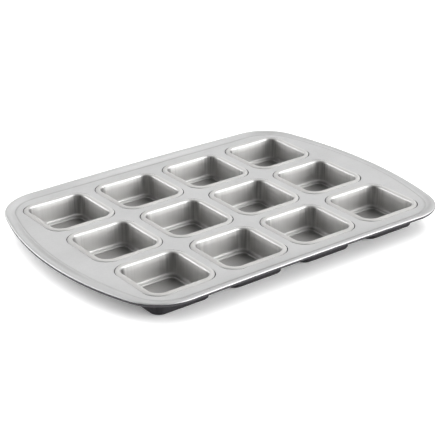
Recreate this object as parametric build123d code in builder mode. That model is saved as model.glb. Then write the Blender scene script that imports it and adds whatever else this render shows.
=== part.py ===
"""A brownie pan: a pressed frame sheet with a wired rim and twelve drawn square cups set into it."""
import math
import os

from build123d import *

os.makedirs("parts", exist_ok=True)

# Grid of cups, numbered along the length from the left end, with the sizes in millimetres
columns = 4
row_names = ("front", "middle", "back")

# Cup with its mouth, its leaning walls and the bevels of its lip and foot
cup_thickness = 0.7
mouth_half = 31.4
mouth_corner = 10.5
wall_draft = 2.6
ledge_depth = 22.0
lip_bevel = 2.2
foot_bevel = 1.2

# Flange of the cup, lapped on the deck, and the deck left between two flanges
flange_width = 5.8
flange_gap = 8.6

# Panel pressed down in the floor of each cup, inside a level ledge
ledge_width = 4.1
panel_corner_cut = 2.5
panel_step = 1.0
panel_slope_angle = 45.0

# Frame sheet, its openings and its outline beyond the grid of cups
frame_thickness = 0.6
opening_clearance = 0.3
end_margin = 31.5
side_margin = 18.0
end_bow_radius = 362.0
corner_radius = 47.0

# Border beyond a narrow crease, crowned highest along the sides and below the deck at the ends
border_width = 9.6
crease_width = 1.0
crease_depth = 0.4
slope_end = 4.2
crown_height = 0.8
side_rise = 3.8
middle_rise = 1.7
end_rise = -0.2

# Curled edge of the border and the wire inside it
curl_radius = 1.9
curl_turn = 240.0
wire_clearance = 0.15

# Share of the sheet's thickness by which its outer bevel is longer than its inner one
bevel_offset_share = 2 - math.sqrt(2)

# Rounds are made up of short flats, this many to each
cup_corner_flat_count = 6
bow_flat_count = 5
turn_flat_count = 8
side_flat_count = 3
curl_flat_count = 6
wire_flat_count = 8

# Sizes worked out from the ones above
deck_top = ledge_depth + panel_step + cup_thickness
flange_half = mouth_half + flange_width
cup_pitch = 2 * flange_half + flange_gap
foot_half = mouth_half - (ledge_depth + cup_thickness) * math.tan(math.radians(wall_draft))
panel_half = foot_half - ledge_width
bevel_offset = bevel_offset_share * cup_thickness
opening_half = mouth_half + cup_thickness + lip_bevel - bevel_offset + opening_clearance
half_length = columns * cup_pitch / 2 + end_margin
half_width = len(row_names) * cup_pitch / 2 + side_margin
bow_x = half_length - end_bow_radius
turn_y = half_width - corner_radius
turn_x = bow_x + math.sqrt((end_bow_radius - corner_radius) ** 2 - turn_y**2)
turn_start = math.degrees(math.atan2(turn_y, turn_x - bow_x))
curl_centre = border_width - curl_radius
wire_radius = curl_radius - frame_thickness - wire_clearance


def shares(count):
    """Even shares of a whole, from none to all of it."""
    return [step / count for step in range(count + 1)]


def section_plane(centre_x, centre_y, radius, angle):
    """A plane across the border at the edge of the deck, first axis outward and second axis up."""
    turn = math.radians(angle)
    outward = Vector(math.cos(turn), math.sin(turn))
    origin = Vector(centre_x, centre_y, deck_top) + outward * (radius - border_width)
    return Plane(origin=origin, x_dir=outward, z_dir=outward.cross(Vector(0, 0, 1)))


def quarter_planes():
    """Planes across a quarter of the border, from the right end's middle to the back side's middle."""
    bow = [section_plane(bow_x, 0, end_bow_radius, turn_start * share) for share in shares(bow_flat_count)]
    turn_angles = [turn_start + (90 - turn_start) * share for share in shares(turn_flat_count)]
    turn = [section_plane(turn_x, turn_y, corner_radius, angle) for angle in turn_angles]
    side_shares = shares(side_flat_count)
    side = [section_plane(turn_x * (1 - share), turn_y, corner_radius, 90) for share in side_shares]
    return bow + turn[1:] + side[1:]


def rise_at(plane):
    """Height of the border's crown over the deck, by the squares of its shares of the deck's reach."""
    along = (plane.origin.X / (half_length - border_width)) ** 2
    across = (plane.origin.Y / (half_width - border_width)) ** 2
    return middle_rise + (side_rise - middle_rise) * across + (end_rise - middle_rise) * along


def border_section(plane):
    """The bent sheet from the edge of the deck to the end of the curl."""
    rise = rise_at(plane)
    shoulder = rise - crown_height
    curl_middle = Vector(curl_centre, rise - curl_radius)
    turns = [90 - curl_turn * share for share in shares(curl_flat_count)]
    outer = [curl_middle + Vector(curl_radius, 0).rotate(Axis.Z, turn) for turn in turns]
    inner = [curl_middle + Vector(curl_radius - frame_thickness, 0).rotate(Axis.Z, turn) for turn in turns]
    top = [(0, 0), (crease_width, -crease_depth), (slope_end, shoulder)]
    bottom = [(out, up - frame_thickness) for out, up in reversed(top)]
    with BuildSketch(plane) as sheet:
        with BuildLine():
            Polyline(*top, *outer, *reversed(inner), *bottom, close=True)
        make_face()
    return sheet.sketch


def wire_section(plane):
    """The round wire lying in the curl."""
    with BuildSketch(plane) as wire:
        with Locations((curl_centre, rise_at(plane) - curl_radius)):
            RegularPolygon(wire_radius, wire_flat_count)
    return wire.sketch


def border_ring(section):
    """A section carried round the whole pan, as a quarter and its three mirror images."""
    with BuildPart() as half:
        loft([section(plane) for plane in quarter_planes()], ruled=True)
        mirror(about=Plane.XZ)
    with BuildPart() as ring:
        add(half.part)
        mirror(about=Plane.YZ)
    return ring.part


def rounded_square(half, corner, height):
    """A level square whose corners are rounded by flats."""
    signs = ((1, 1), (-1, 1), (-1, -1), (1, -1))
    points = []
    for quarter, (sign_x, sign_y) in enumerate(signs):
        centre = Vector(sign_x * (half - corner), sign_y * (half - corner))
        for share in shares(cup_corner_flat_count):
            points.append(centre + Vector(corner, 0).rotate(Axis.Z, 90 * (quarter + share)))
    with BuildSketch(Plane.XY.offset(height)) as square:
        with BuildLine():
            Polyline(*points, close=True)
        make_face()
    return square.sketch


def drawn_shape(grown, bevel):
    """Leaning walls, a bevelled foot and the pressed panel, grown outward by a sheet thickness or none."""
    with BuildPart() as shape:
        mouth = rounded_square(mouth_half + grown, mouth_corner + grown, deck_top + cup_thickness)
        extrude(mouth, amount=-(ledge_depth + cup_thickness + grown), taper=wall_draft)
        chamfer(shape.faces().sort_by(Axis.Z)[0].edges(), bevel)
        with BuildSketch(Plane.XY.offset(deck_top - ledge_depth - grown)) as panel:
            Rectangle(2 * panel_half, 2 * panel_half)
            chamfer(panel.vertices(), panel_corner_cut)
        extrude(amount=-panel_step, taper=panel_slope_angle)
    return shape.part


# Frame: the flat deck with its twelve openings and the border with its curl
with BuildPart() as pan_frame:
    quarter_edge = [(plane.origin.X, plane.origin.Y) for plane in quarter_planes()]
    back_edge = quarter_edge + [(-x, y) for x, y in quarter_edge[-2::-1]]
    with BuildSketch(Plane.XY.offset(deck_top)):
        with BuildLine():
            Polyline(*back_edge, *[(x, -y) for x, y in back_edge[-2:0:-1]], close=True)
        make_face()
        opening = rounded_square(opening_half, mouth_corner + opening_half - mouth_half, 0)
        with GridLocations(cup_pitch, cup_pitch, columns, len(row_names)):
            add(opening, mode=Mode.SUBTRACT)
    extrude(amount=-frame_thickness)
    add(border_ring(border_section))

# Wire closed inside the curl
rim_wire = border_ring(wire_section)

# Cup: the shape grown by the sheet with its flange, less the room inside it, with the lip bevelled
with BuildPart() as cup:
    add(drawn_shape(cup_thickness, foot_bevel + bevel_offset))
    extrude(rounded_square(flange_half, mouth_corner + flange_width, deck_top), amount=cup_thickness)
    underside = cup.faces().filter_by(Axis.Z).group_by(Axis.Z)[-2][0]
    chamfer(underside.inner_wires()[0].edges(), lip_bevel - bevel_offset)
    add(drawn_shape(0, foot_bevel), mode=Mode.SUBTRACT)
    chamfer(cup.faces().sort_by(Axis.Z)[-1].inner_wires()[0].edges(), lip_bevel)

# Every piece is written to its own file
pieces = {"pan_frame": pan_frame.part, "rim_wire": rim_wire}
for row, row_name in enumerate(row_names):
    for column in range(columns):
        cup_x = (column - (columns - 1) / 2) * cup_pitch
        cup_y = (row - (len(row_names) - 1) / 2) * cup_pitch
        pieces[f"{row_name}_cup_{column + 1}"] = Pos(cup_x, cup_y) * cup.part
for name, piece in pieces.items():
    piece.label = name
    export_step(piece, f"parts/{name}.step")
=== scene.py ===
"""A twelve-cup brownie pan in satin metal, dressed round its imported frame, in metres."""
import math

import bmesh
import bpy
import numpy as np
from mathutils import Matrix, Vector
from mathutils.geometry import tessellate_polygon


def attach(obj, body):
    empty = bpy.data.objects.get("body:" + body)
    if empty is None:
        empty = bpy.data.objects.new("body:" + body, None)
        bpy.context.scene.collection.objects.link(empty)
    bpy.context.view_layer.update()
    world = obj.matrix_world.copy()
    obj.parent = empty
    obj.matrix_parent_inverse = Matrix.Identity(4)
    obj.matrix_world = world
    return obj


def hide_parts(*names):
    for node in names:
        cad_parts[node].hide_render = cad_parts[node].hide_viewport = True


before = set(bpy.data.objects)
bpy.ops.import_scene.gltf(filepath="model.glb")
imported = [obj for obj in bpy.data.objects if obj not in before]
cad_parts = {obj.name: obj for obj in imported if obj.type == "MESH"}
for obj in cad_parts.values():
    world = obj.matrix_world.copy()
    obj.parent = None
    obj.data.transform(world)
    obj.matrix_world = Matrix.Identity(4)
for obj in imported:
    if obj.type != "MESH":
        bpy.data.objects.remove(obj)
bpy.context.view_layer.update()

# Camera
# The photograph is taken from in front and to the left, about 25 degrees above the table, with a long lens.
camera_azimuth = math.radians(-36.47)
camera_elevation = math.radians(24.91)
camera_distance = 1.2917
camera_roll = math.radians(-0.64)
camera_focal_mm = 109.18
camera_target = Vector((-0.01911, -0.02442, 0.0237))

toward_camera = Vector((
    math.sin(camera_azimuth) * math.cos(camera_elevation),
    -math.cos(camera_azimuth) * math.cos(camera_elevation),
    math.sin(camera_elevation),
))
level_right = Vector((0, 0, 1)).cross(toward_camera).normalized()
level_up = toward_camera.cross(level_right)
camera_right = level_right * math.cos(camera_roll) + level_up * math.sin(camera_roll)
camera_up = level_up * math.cos(camera_roll) - level_right * math.sin(camera_roll)
camera_data = bpy.data.cameras.new("camera")
camera_data.lens = camera_focal_mm
camera_data.clip_end = 20.0
camera = bpy.data.objects.new("camera", camera_data)
scene = bpy.context.scene
scene.collection.objects.link(camera)
camera_turn = Matrix((camera_right, camera_up, toward_camera)).transposed().to_4x4()
camera.matrix_world = Matrix.Translation(camera_target + toward_camera * camera_distance) @ camera_turn
scene.camera = camera

# Floor and light
# White paper under and behind the pan, lit by a wide overhead softbox that the metal doesn't mirror. The
# metal mirrors a studio with two large soft lights low at the front right, one low at the back left, a weak
# one high at the right and three faint fills, the same for all views.
floor_half = 3.0
floor_z = -0.0001
floor_lift = 0.14
lobe_sharpness = 12
scene.view_settings.view_transform = "Standard"


def math_node(tree, operation, *inputs):
    """The output of a math node, each of whose inputs is a number or the output of another node."""
    node = tree.nodes.new("ShaderNodeMath")
    node.operation = operation
    for socket, value in zip(node.inputs, inputs):
        if isinstance(value, bpy.types.NodeSocket):
            tree.links.new(value, socket)
        else:
            socket.default_value = value
    return node.outputs[0]


floor_corners = [(x * floor_half, y * floor_half, floor_z) for x, y in ((-1, -1), (1, -1), (1, 1), (-1, 1))]
floor_mesh = bpy.data.meshes.new("floor")
floor_mesh.from_pydata(floor_corners, [], [(0, 1, 2, 3)])
floor = bpy.data.objects.new("floor", floor_mesh)
scene.collection.objects.link(floor)

floor_material = bpy.data.materials.new("white paper")
floor_material.use_nodes = True
floor_tree = floor_material.node_tree
floor_shader = floor_tree.nodes["Principled BSDF"]
floor_shader.inputs["Base Color"].default_value = (0.94, 0.94, 0.94, 1)
floor_shader.inputs["Roughness"].default_value = 1.0
floor_shader.inputs["Specular IOR Level"].default_value = 0.0
floor_shader.inputs["Emission Color"].default_value = (1, 1, 1, 1)
floor_path = floor_tree.nodes.new("ShaderNodeLightPath")
floor_seen = math_node(
    floor_tree, "MAXIMUM", floor_path.outputs["Is Camera Ray"], floor_path.outputs["Is Glossy Ray"]
)
floor_glow = math_node(floor_tree, "MULTIPLY", floor_seen, floor_lift)
floor_tree.links.new(floor_glow, floor_shader.inputs["Emission Strength"])
floor_mesh.materials.append(floor_material)

softbox_data = bpy.data.lights.new("overhead softbox", "SUN")
softbox_data.energy = 4.5
softbox_data.angle = math.radians(100)
softbox = bpy.data.objects.new("overhead softbox", softbox_data)
softbox.rotation_euler = Vector((-0.25, 0.1, 1.0)).to_track_quat("Z", "Y").to_euler()
softbox.visible_glossy = False
scene.collection.objects.link(softbox)

world = bpy.data.worlds.new("studio")
scene.world = world
world.use_nodes = True
world_tree = world.node_tree
studio_light = world_tree.nodes["Background"]
studio_light.inputs["Color"].default_value = (1, 1, 1, 1)
world_direction = world_tree.nodes.new("ShaderNodeTexCoord").outputs["Generated"]


def studio_lobe(direction, gain):
    """One soft light: gain times e to the power of sharpness times (cosine from its middle, less one)."""
    toward = world_tree.nodes.new("ShaderNodeVectorMath")
    toward.operation = "DOT_PRODUCT"
    toward.inputs[1].default_value = Vector(direction).normalized()
    world_tree.links.new(world_direction, toward.inputs[0])
    power = math_node(world_tree, "MULTIPLY_ADD", toward.outputs["Value"], lobe_sharpness, -lobe_sharpness)
    return math_node(world_tree, "MULTIPLY", math_node(world_tree, "EXPONENT", power), gain)


studio_level = studio_lobe((0.48, -0.83, 0.30), 8.4)
for lobe_direction, lobe_gain in (
    ((-0.63, 0.75, 0.18), 5.7),
    ((0.76, -0.64, 0.06), 4.0),
    ((0.54, 0.41, 0.73), 1.65),
    ((0.55, -0.15, 0.82), 0.45),
    ((0.47, 0.73, 0.50), 0.7),
    ((0.00, 0.76, 0.65), 0.25),
):
    studio_level = math_node(world_tree, "ADD", studio_level, studio_lobe(lobe_direction, lobe_gain))
camera_sees = world_tree.nodes.new("ShaderNodeLightPath")
white_back = world_tree.nodes.new("ShaderNodeMix")
white_back.data_type = "FLOAT"
world_tree.links.new(camera_sees.outputs["Is Camera Ray"], white_back.inputs["Factor"])
world_tree.links.new(studio_level, white_back.inputs["A"])
white_back.inputs["B"].default_value = 1.0
world_tree.links.new(white_back.outputs["Result"], studio_light.inputs["Strength"])

# Satin metal
# Plated steel sheet, matte and paler where it stays flat, smoother where it is drawn or curled, and streaked
# up the cups' walls. Shade is painted into its colour in the creases, on the floors and round the corners of
# the cups, and the stronger streaks at the corners are partly painted light and shade.
metal_roughness = 0.55
gloss_spread = 0.07
cloud_spread = 0.07
matte_paler = 0.15
matte_rougher = 0.32
upright_stretch = (1, 1, 0.04)


def noise(tree, place, scale, detail):
    """The grey level of a noise pattern at a place."""
    node = tree.nodes.new("ShaderNodeTexNoise")
    node.inputs["Scale"].default_value = scale
    node.inputs["Detail"].default_value = detail
    tree.links.new(place, node.inputs["Vector"])
    return node.outputs["Fac"]


def point_share(tree, name):
    """The points' share of this name, which is 0 on a piece that has none."""
    node = tree.nodes.new("ShaderNodeAttribute")
    node.attribute_name = name
    return node.outputs["Fac"]


def satin_metal(name, colour):
    """Metal, rougher where matte, its colour times 1 - painted shade and tone + paler * matte + streaks and
    shading * (streaks - 0.5).
    """
    material = bpy.data.materials.new(name)
    material.use_nodes = True
    tree = material.node_tree
    shader = tree.nodes["Principled BSDF"]
    shader.inputs["Metallic"].default_value = 1.0
    place = tree.nodes.new("ShaderNodeTexCoord").outputs["Object"]
    stretch = tree.nodes.new("ShaderNodeMapping")
    stretch.inputs["Scale"].default_value = upright_stretch
    tree.links.new(place, stretch.inputs["Vector"])
    streaks = noise(tree, stretch.outputs[0], scale=420, detail=3)
    clouds = noise(tree, place, scale=28, detail=4)

    tone = tree.nodes.new("ShaderNodeMix")
    tone.data_type = "RGBA"
    tone.inputs["A"].default_value = (*((1 - cloud_spread) * c for c in colour), 1)
    tone.inputs["B"].default_value = (*((1 + cloud_spread) * c for c in colour), 1)
    tree.links.new(clouds, tone.inputs["Factor"])

    matte = point_share(tree, "matte")
    bright = math_node(tree, "SUBTRACT", 1.0, point_share(tree, "dull"))
    pale = math_node(tree, "MULTIPLY_ADD", matte, matte_paler, bright)
    centred = math_node(tree, "SUBTRACT", streaks, 0.5)
    shade = math_node(tree, "MULTIPLY_ADD", centred, point_share(tree, "drawn"), pale)
    shaded = tree.nodes.new("ShaderNodeVectorMath")
    shaded.operation = "SCALE"
    tree.links.new(tone.outputs["Result"], shaded.inputs[0])
    tree.links.new(shade, shaded.inputs["Scale"])
    tree.links.new(shaded.outputs[0], shader.inputs["Base Color"])

    gloss = tree.nodes.new("ShaderNodeMapRange")
    gloss.inputs["To Min"].default_value = metal_roughness - gloss_spread
    gloss.inputs["To Max"].default_value = metal_roughness + gloss_spread
    tree.links.new(streaks, gloss.inputs["Value"])
    rough = math_node(tree, "MULTIPLY_ADD", matte, matte_rougher, gloss.outputs[0])
    tree.links.new(rough, shader.inputs["Roughness"])

    bump = tree.nodes.new("ShaderNodeBump")
    bump.inputs["Strength"].default_value = 0.07
    bump.inputs["Distance"].default_value = 0.0004
    tree.links.new(streaks, bump.inputs["Height"])
    tree.links.new(bump.outputs[0], shader.inputs["Normal"])
    return material


# Frame sheet
# One sheet of steel pressed with a flat deck, twelve square openings and a border that rises from a
# crease and is curled under all round. The border stands higher along the long sides than at the ends.
MM = 0.001
pan_length = 394.9 * MM
pan_width = 284.9 * MM
bow_radius = 362 * MM
corner_radius = 47 * MM
sheet = 0.6 * MM
deck_top = 23.7 * MM
cup_pitch = 83 * MM
flange_half = 37.2 * MM
flange_corner = 18 * MM
opening_half = 34.2 * MM
opening_corner = 13.3 * MM

bow_x = pan_length / 2 - bow_radius
corner_y = pan_width / 2 - corner_radius
corner_x = bow_x + math.sqrt((bow_radius - corner_radius) ** 2 - corner_y**2)
corner_start = math.atan2(corner_y, corner_x - bow_x)
bow_length = bow_radius * corner_start
turn_length = corner_radius * (math.pi / 2 - corner_start)
quarter_length = bow_length + turn_length + corner_x


def outline_quarter(length):
    """Points and outward normals at lengths along a quarter of the outline: bow, corner arc and side."""
    corner_angle = corner_start + (length - bow_length) / corner_radius
    angle = np.minimum(np.where(length < bow_length, length / bow_radius, corner_angle), math.pi / 2)
    radius = np.where(length < bow_length, bow_radius, corner_radius)
    side = np.maximum(length - bow_length - turn_length, 0)
    x = np.where(length < bow_length, bow_x, corner_x) + radius * np.cos(angle) - side
    y = np.where(length < bow_length, 0, corner_y) + radius * np.sin(angle)
    return np.stack([x, y], 1), np.stack([np.cos(angle), np.sin(angle)], 1)


def whole_ring(quarter):
    """A closed ring from its first quarter, mirrored over both axes and free of repeated ends."""
    half = np.concatenate([quarter, (quarter[::-1] * (-1, 1))[1:]])
    return np.concatenate([half, (half[::-1] * (1, -1))[1:-1]])


def square_directions(arc_steps, side_steps):
    """Two patterns of a rounded square, whose points are (half - corner) * across + corner * outward."""
    bend = np.linspace(0, math.pi / 2, arc_steps + 1)
    along = np.linspace(1, -1, side_steps + 1)[1:-1]
    arc_across = np.ones((arc_steps + 1, 2))
    arc_outward = np.stack([np.cos(bend), np.sin(bend)], 1)
    side_across = np.stack([along, np.ones_like(along)], 1)
    side_outward = np.tile([0.0, 1.0], (len(along), 1))
    quarter_turns = [np.array(((c, s), (-s, c))) for c, s in ((1, 0), (0, 1), (-1, 0), (0, -1))]
    quarters = np.concatenate([arc_across, side_across]), np.concatenate([arc_outward, side_outward])
    return [np.concatenate([quarter @ turned for turned in quarter_turns]) for quarter in quarters]


def grid_faces(rings, around, first=0):
    """Quads between neighbouring closed rings, wound so that they face up where the rings step inward."""
    ring_start = np.arange(rings - 1)[:, None] * around
    here = ring_start + np.arange(around)
    beside = ring_start + (np.arange(around) + 1) % around
    return np.stack([here, beside, beside + around, here + around], -1).reshape(-1, 4) + first


def new_piece(name, points, faces, slot_numbers, materials, **shares):
    """A smooth mesh object at the origin, with its materials by face and its named shares by point."""
    mesh = bpy.data.meshes.new(name)
    mesh.from_pydata(points.reshape(-1, 3).tolist(), [], faces)
    mesh.polygons.foreach_set("material_index", slot_numbers)
    for share_name, share in shares.items():
        attribute = mesh.attributes.new(share_name, "FLOAT", "POINT")
        attribute.data.foreach_set("value", share.astype(np.float32).ravel())
    work = bmesh.new()
    work.from_mesh(mesh)
    bmesh.ops.remove_doubles(work, verts=work.verts, dist=1e-6)
    work.to_mesh(mesh)
    work.free()
    mesh.polygons.foreach_set("use_smooth", np.ones(len(mesh.polygons), bool))
    for material in materials:
        mesh.materials.append(material)
    mesh.update()
    piece = bpy.data.objects.new(name, mesh)
    scene.collection.objects.link(piece)
    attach(piece, "root")
    return piece


# The border is told by places out from the edge of the deck and heights over the deck. Its crown is where it
# starts to curl, over the middle of the curl.
border_width = 9.6 * MM
curl_radius = 1.9 * MM
curl_turn = math.radians(240)
side_rise = 3.8 * MM
middle_rise = 1.7 * MM
end_rise = -0.2 * MM
crown_out = border_width - curl_radius
step_out = -0.5 * MM
climb_width = 6.2 * MM
climb_share = 0.8
valley_depth = 0.7 * MM
crease_out = -0.8 * MM
crease_width = 0.7 * MM
crease_depth = 0.25 * MM
inner_edge_out = -4.4 * MM
climb_end_out = step_out + climb_width
curl_steps = 24


def border_rise(edge):
    """Height of the crown, by the squares of a place's shares of the deck's half length and half width."""
    along = (edge[:, 0] / (pan_length / 2 - border_width)) ** 2
    across = (edge[:, 1] / (pan_width / 2 - border_width)) ** 2
    return middle_rise + (side_rise - middle_rise) * across + (end_rise - middle_rise) * along


def border_top(out, rise):
    """Height of the border's upper side: a climb to the crown, less a crease and a valley at the ends."""
    reach = np.clip((out - step_out) / (crown_out - step_out), 0, 1)
    climb = np.clip((out - step_out) / climb_width, 0, 1)
    valley = valley_depth * (1 - rise / side_rise) * np.sin(math.pi * reach) ** 2
    crease = crease_depth * np.exp(-(((out - crease_out) / crease_width) ** 2))
    share = climb_share * climb * climb * (3 - 2 * climb) + (1 - climb_share) * reach
    return rise * share - valley - crease


outline_points, outline_normals = outline_quarter(np.linspace(0, quarter_length, 121))
outline_ring = whole_ring(outline_points)
normal_ring = whole_ring(outline_normals)
rise_ring = border_rise(outline_ring - normal_ring * border_width)
around = len(outline_ring)


def curl_arc(radius, angle):
    """Places out and heights of an arc round the middle of the curl, for every place round the pan."""
    return crown_out + radius * np.cos(angle), rise_ring - curl_radius + radius * np.sin(angle)[:, None]


def carried_round(out, height):
    """Rings round the pan: the outline moved along its normals by the places out less the border's width."""
    xy = outline_ring + normal_ring * (out - border_width)[:, None, None]
    return np.concatenate([xy, (deck_top + height)[..., None]], -1)


top_out = np.concatenate([
    np.linspace(inner_edge_out, climb_end_out - 0.3 * MM, 50), np.linspace(climb_end_out, crown_out, 6)
])
top_z = border_top(top_out[:, None], rise_ring)
curl_angle = math.pi / 2 - np.linspace(0, 1, curl_steps + 1)[1:] * curl_turn
curl_out, curl_z = curl_arc(curl_radius, curl_angle)
inner_out, inner_z = curl_arc(curl_radius - sheet, curl_angle[::-1])
profile_out = np.concatenate([top_out, curl_out, inner_out, top_out[::-1]])
border = carried_round(profile_out, np.concatenate([top_z, curl_z, inner_z, top_z[::-1] - sheet]))

# Painted shade in the dark metal begins where the curl has turned down to this angle over level.
dark_angle = math.radians(40)
first_dark_ring = len(top_out) + int(np.argmax(curl_angle < dark_angle))
border_shade_faces = np.repeat(np.arange(len(border) - 1) >= first_dark_ring, around)

cup_places = [
    (f"{row_name}_cup_{column + 1}", (column - 1.5) * cup_pitch, (row - 1) * cup_pitch)
    for row, row_name in enumerate(("front", "middle", "back")) for column in range(4)
]
across, outward = square_directions(arc_steps=16, side_steps=12)


def square_loop(half, corner):
    """A level rounded square: its half-width less its corner radius across, and the corner radius outward."""
    return across * (half - corner) + outward * corner


def level_ring(loop, height):
    """A plane loop of points at one height, or each point at its own."""
    return np.concatenate([loop, np.broadcast_to(height, (len(loop), 1))], 1)


def flat_fill(loops, height, faces_up):
    """Flat triangles at one height, between an outer loop and the loops of the openings in it."""
    corners = [[Vector((*point, 0)) for point in loop.tolist()] for loop in loops]
    triangles = np.array(tessellate_polygon(corners))
    xy = np.concatenate(loops)
    first, second, third = xy[triangles[:, 0]], xy[triangles[:, 1]], xy[triangles[:, 2]]
    ab, ac = second - first, third - first
    is_up = ab[:, 0] * ac[:, 1] - ab[:, 1] * ac[:, 0] > 0
    triangles = np.where((is_up == faces_up)[:, None], triangles, triangles[:, ::-1])
    return level_ring(xy, height), triangles


def joined(meshes):
    """Points, faces and material numbers of several meshes as one list each."""
    starts = np.cumsum([0] + [len(points) for points, faces, slot_numbers in meshes])
    points = np.concatenate([points for points, faces, slot_numbers in meshes])
    faces = [face for start, (_, part, _) in zip(starts, meshes) for face in (part + start).tolist()]
    return points, faces, np.concatenate([slot_numbers for points, faces, slot_numbers in meshes]).astype(np.int32)


# A fine gap shows beside each cup's flange at its corners, and the rest down to the opening lies under the
# flange. Each step is a place outward and a height over the deck. Shade is painted with the dark metal on the
# gap's outer wall and floor, the opening's edge and the underside beside it.
corner_share = 2 * np.abs(outward[:, :1] * outward[:, 1:])
side_gap_width, corner_gap_width = 0.04 * MM, 0.84 * MM
side_gap_depth, corner_gap_depth = 0.05 * MM, 0.55 * MM
gap_width = side_gap_width + (corner_gap_width - side_gap_width) * corner_share
gap_depth = side_gap_depth + (corner_gap_depth - side_gap_depth) * corner_share
beside_flange = [
    (1.2 * MM, 0), (gap_width + 0.1 * MM, 0), (gap_width, -0.3 * gap_depth),
    (0.7 * gap_width, -gap_depth), (-0.1 * MM, -gap_depth), (-0.3 * MM, 0),
]
at_opening = [
    (0.2 * MM, 0), (0, -0.1 * MM), (0, 0.1 * MM - sheet), (0.2 * MM, -sheet), (0.4 * MM, -sheet),
]
dark_steps = (2, 3, 6, 7, 8, 9)
steps = [(flange_half, flange_corner, *step) for step in beside_flange]
steps += [(opening_half, opening_corner, *step) for step in at_opening]
hole_rings = np.stack([
    level_ring(square_loop(half + out, corner + out), deck_top + height)
    for half, corner, out, height in steps
])
hole_faces = grid_faces(len(hole_rings), len(across))
hole_shade_faces = np.repeat(np.isin(np.arange(len(hole_rings) - 1), dark_steps), len(across))

meshes = [(border.reshape(-1, 3), grid_faces(len(border), around)[:, ::-1], border_shade_faces)]
meshes += [((hole_rings + (x, y, 0)).reshape(-1, 3), hole_faces, hole_shade_faces) for name, x, y in cup_places]
# The deck's underside takes the dark metal as painted shade.
for ring, height, faces_up in ((hole_rings[0], deck_top, True), (hole_rings[-1], deck_top - sheet, False)):
    loops = [border[0, :, :2], *[ring[:, :2] + (x, y) for name, x, y in cup_places]]
    points, faces = flat_fill(loops, height, faces_up)
    meshes.append((points, faces, np.full(len(faces), not faces_up)))
frame_points, frame_faces, frame_shade_faces = joined(meshes)

# Shade is painted along the crease, most where the border is high, and the metal is matte inside the border.
dull_line_out = -1.0 * MM
dull_line_width = 0.9 * MM
crease_dull = 0.25
crease_shade_line = crease_dull * np.exp(-(((top_out - dull_line_out) / dull_line_width) ** 2))
frame_dull = np.zeros(len(frame_points))
frame_dull[:len(top_out) * around] = (crease_shade_line[:, None] * np.clip(rise_ring / side_rise, 0.4, 1)).ravel()
border_matte = np.interp(profile_out, (-1.5 * MM, 1.5 * MM), (1, 0))
frame_matte = np.ones(len(frame_points))
frame_matte[:len(border) * around] = np.repeat(border_matte, around)
frame_metal = satin_metal("frame metal", (0.60, 0.60, 0.60))
# This near-black metal is painted shade, given to the undersides, the cups' outsides, the gaps and the rim
# wire.
painted_shade_metal = satin_metal("painted shade metal", (0.05, 0.048, 0.052))
frame_piece = new_piece(
    "frame_sheet", frame_points, frame_faces, frame_shade_faces, (frame_metal, painted_shade_metal),
    dull=frame_dull, matte=frame_matte,
)
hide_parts("pan_frame")

# Rim wire
# Round steel wire closed in by the curl all round, seen only through the curl's slit from below.
wire_radius = 1.15 * MM
wire_sides = 16
wire_angle = math.pi - np.linspace(0, 2 * math.pi, wire_sides + 1)[:-1]
wire_points = carried_round(*curl_arc(wire_radius, wire_angle))
wire_faces = grid_faces(len(wire_points) + 1, around) % (len(wire_points) * around)
# The wire takes the dark metal as painted shade.
wire_shade_faces = np.zeros(len(wire_faces), np.int32)
wire_piece = new_piece("wire_in_rim", wire_points, wire_faces.tolist(), wire_shade_faces, (painted_shade_metal,))
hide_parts("rim_wire")

# Cups
# Twelve square cups drawn from sheet, each with a slightly domed flange lapped on the deck, a rounded lip,
# leaning walls that flare at the top, a rounded foot and a panel pressed down in the floor.
cup_sheet = 0.7 * MM
mouth_half = 31.4 * MM
lean = math.tan(math.radians(2.6))
flange_top = deck_top + cup_sheet
flange_edge = 0.1 * MM
flange_edge_radius = 0.05 * MM
dome_width = 2.0 * MM
dome_height = 0.75 * MM
dome_radius = 2.5 * MM
lip_out = 0.15 * MM
lip_height = 1.2 * MM
lip_radius = 2.2 * MM
flare_z = deck_top - 4.5 * MM
flare_radius = 40 * MM
flare_half = mouth_half - lean * (flange_top - flare_z) - 0.3 * MM
ledge_z = 1.7 * MM
foot_half = mouth_half - lean * (flange_top - ledge_z)
foot_radius = 2.0 * MM
panel_z = 0.7 * MM
panel_half = 26.3 * MM
panel_slope = 1.0 * MM
panel_radius = 0.5 * MM
panel_radius_below = 0.9 * MM
floor_middle = 4.0 * MM
hold_reach = 1.12


def rounded_path(corners, radii, arc_steps=8):
    """A path whose corners are rounded by tangent arcs, with one more point just before and after each."""
    corners = np.array(corners, float)
    pieces = [corners[:1]]
    for before, corner, after, radius in zip(corners[:-2], corners[1:-1], corners[2:], radii):
        to_before = (before - corner) / np.linalg.norm(before - corner)
        to_after = (after - corner) / np.linalg.norm(after - corner)
        half_angle = math.acos(np.clip(to_before @ to_after, -1, 1)) / 2
        reach = radius / math.tan(half_angle)
        middle = (to_before + to_after) / np.linalg.norm(to_before + to_after)
        centre = corner + middle * radius / math.sin(half_angle)
        first = corner + to_before * reach - centre
        last = corner + to_after * reach - centre
        sweep = math.pi - 2 * half_angle
        share = np.linspace(0, 1, arc_steps + 1)[:, None]
        arc = centre + (np.sin((1 - share) * sweep) * first + np.sin(share * sweep) * last) / math.sin(sweep)
        beyond = hold_reach * reach
        pieces += [(corner + to_before * beyond)[None], arc, (corner + to_after * beyond)[None]]
    pieces.append(corners[-1:])
    return np.concatenate(pieces)


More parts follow.
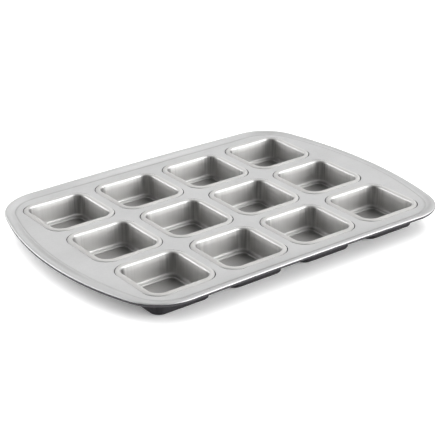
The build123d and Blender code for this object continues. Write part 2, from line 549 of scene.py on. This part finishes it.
def corner_for(half):
    """Corner radius of the rounded square at each half-width, smaller toward the middle of the floor."""
    halves = (0, panel_half - panel_slope, panel_half, 30.37 * MM, mouth_half, flange_half)
    corners = (0, 6.0 * MM, 7.0 * MM, 9.47 * MM, 10.5 * MM, flange_corner)
    return np.interp(half, halves, corners)


def square_rings(path):
    """Rounded squares, (half - corner) * across + corner * outward, at a path's half-widths and heights."""
    half, height = path[:, :1, None], path[:, 1:, None]
    corner = corner_for(half)
    xy = (half - corner) * across + corner * outward
    return np.concatenate([xy, np.broadcast_to(height, (*xy.shape[:2], 1))], -1)


inside = rounded_path(
    [
        (flange_half, deck_top),
        (flange_half, deck_top + flange_edge),
        (flange_half - dome_width, deck_top + dome_height),
        (mouth_half + lip_out, deck_top + lip_height),
        (flare_half, flare_z),
        (foot_half, ledge_z),
        (panel_half, ledge_z),
        (panel_half - panel_slope, panel_z),
        (floor_middle, panel_z),
    ],
    [flange_edge_radius, dome_radius, lip_radius, flare_radius, foot_radius, panel_radius, panel_radius],
)
outside = rounded_path(
    [
        (flange_half, deck_top),
        (mouth_half + cup_sheet, deck_top),
        (foot_half + cup_sheet, ledge_z - cup_sheet),
        (panel_half, ledge_z - cup_sheet),
        (panel_half - panel_slope, panel_z - cup_sheet),
        (floor_middle, panel_z - cup_sheet),
    ],
    [lip_radius, foot_radius + cup_sheet, panel_radius_below, panel_radius_below],
)
both_sides = np.concatenate([inside, outside])
cup_rings = square_rings(both_sides)

# The inside's rings come first, then the outside's, and a many-sided cap closes the middle of each.
ring = len(across)
inside_count = len(inside) * ring
whole_count = len(both_sides) * ring
inside_faces = grid_faces(len(inside), ring)
outside_faces = grid_faces(len(outside), ring, inside_count)[:, ::-1]
floor_cap = np.arange(inside_count - ring, inside_count)
base_cap = np.arange(whole_count - ring, whole_count)[::-1]
cup_faces = [*inside_faces.tolist(), *outside_faces.tolist(), floor_cap.tolist(), base_cap.tolist()]
# The cups' outsides and bases take the dark metal as painted shade.
cup_shade_faces = np.repeat((0, 1, 0, 1), (len(inside_faces), len(outside_faces), 1, 1)).astype(np.int32)

# The walls are streaked, most at the corners, where the stronger stripes are partly painted light and shade.
# Shade is painted round the corners of the walls and more deeply on the panel, while the flange is matte and
# a touch darker.
wall_streaks = 0.16
corner_streaks_and_shading = 0.9
corner_dull = 0.28
bend_dull = 0.18
panel_dull = 0.48
flange_dull = 0.05
half_widths, heights = both_sides[:, :1], both_sides[:, 1:]
wall_ends = (ledge_z + 0.8 * MM, ledge_z + 2.8 * MM, deck_top - 0.9 * MM, deck_top + 0.5 * MM)
wall_share = np.interp(heights, wall_ends, (0, 1, 1, 0))
panel_share = np.interp(heights, (panel_z, ledge_z), (1, 0))
flange_share = np.interp(half_widths, (mouth_half + 1.0 * MM, mouth_half + 2.5 * MM), (0, 1))
mouth_x, mouth_y = square_loop(mouth_half, corner_for(mouth_half)).T
near_corner = (2 * np.abs(mouth_x * mouth_y) / (mouth_x**2 + mouth_y**2)) ** 6
cup_drawn = wall_share * (wall_streaks + corner_streaks_and_shading * near_corner)
cup_matte = flange_share * np.ones(ring)
wall_dull = wall_share * (corner_dull * near_corner + bend_dull * corner_share[:, 0])
cup_dull = wall_dull + panel_dull * panel_share + flange_dull * flange_share
cup_metal = satin_metal("cup metal", (0.65, 0.645, 0.636))
for name, x, y in cup_places:
    cup = new_piece(
        f"{name}_sheet", cup_rings + (x, y, 0), cup_faces, cup_shade_faces, (cup_metal, painted_shade_metal),
        dull=cup_dull, drawn=cup_drawn, matte=cup_matte,
    )
    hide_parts(name)
